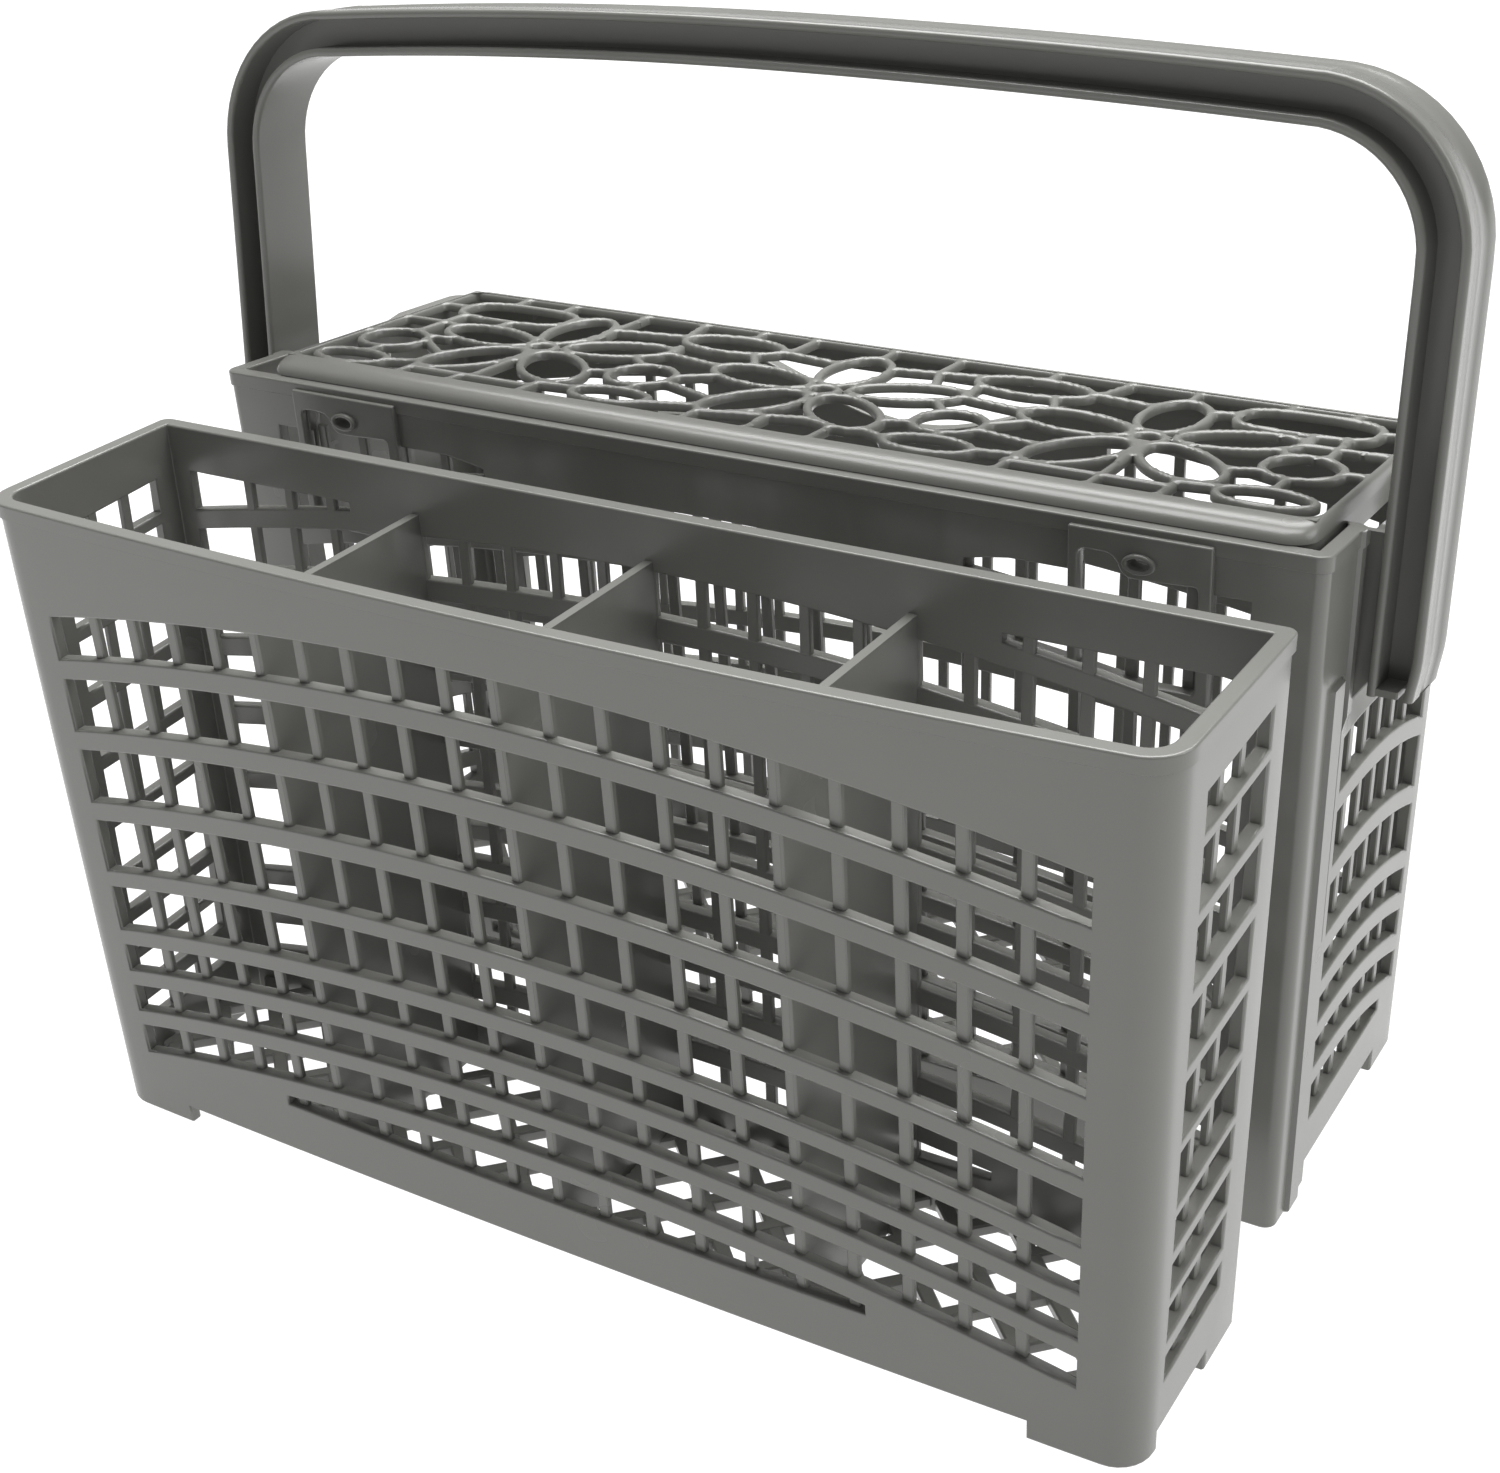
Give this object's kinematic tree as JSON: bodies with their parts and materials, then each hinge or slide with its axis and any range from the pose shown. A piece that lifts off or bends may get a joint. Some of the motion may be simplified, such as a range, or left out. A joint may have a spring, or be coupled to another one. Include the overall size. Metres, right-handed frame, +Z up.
{
  "type": "dishwasher cutlery basket",
  "caption": "Grey plastic dishwasher cutlery basket: a narrow gridded front section, a deeper gridded main basket with a pierced floral lid, and an upright bail handle.",
  "frame": {"origin": "middle of the footprint, on the floor under the feet", "axes": "+X to the right along the length, -Y to the front where the narrow basket stands, +Z up"},
  "size_m": [0.2652, 0.1556, 0.2159],
  "materials": {
    "grey_plastic": "moulded, semi-gloss"
  },
  "bodies": {
    "root": {"front_basket": "grey_plastic", "main_basket": "grey_plastic", "lid": "grey_plastic", "handle": "grey_plastic"}
  },
  "joints": []
}
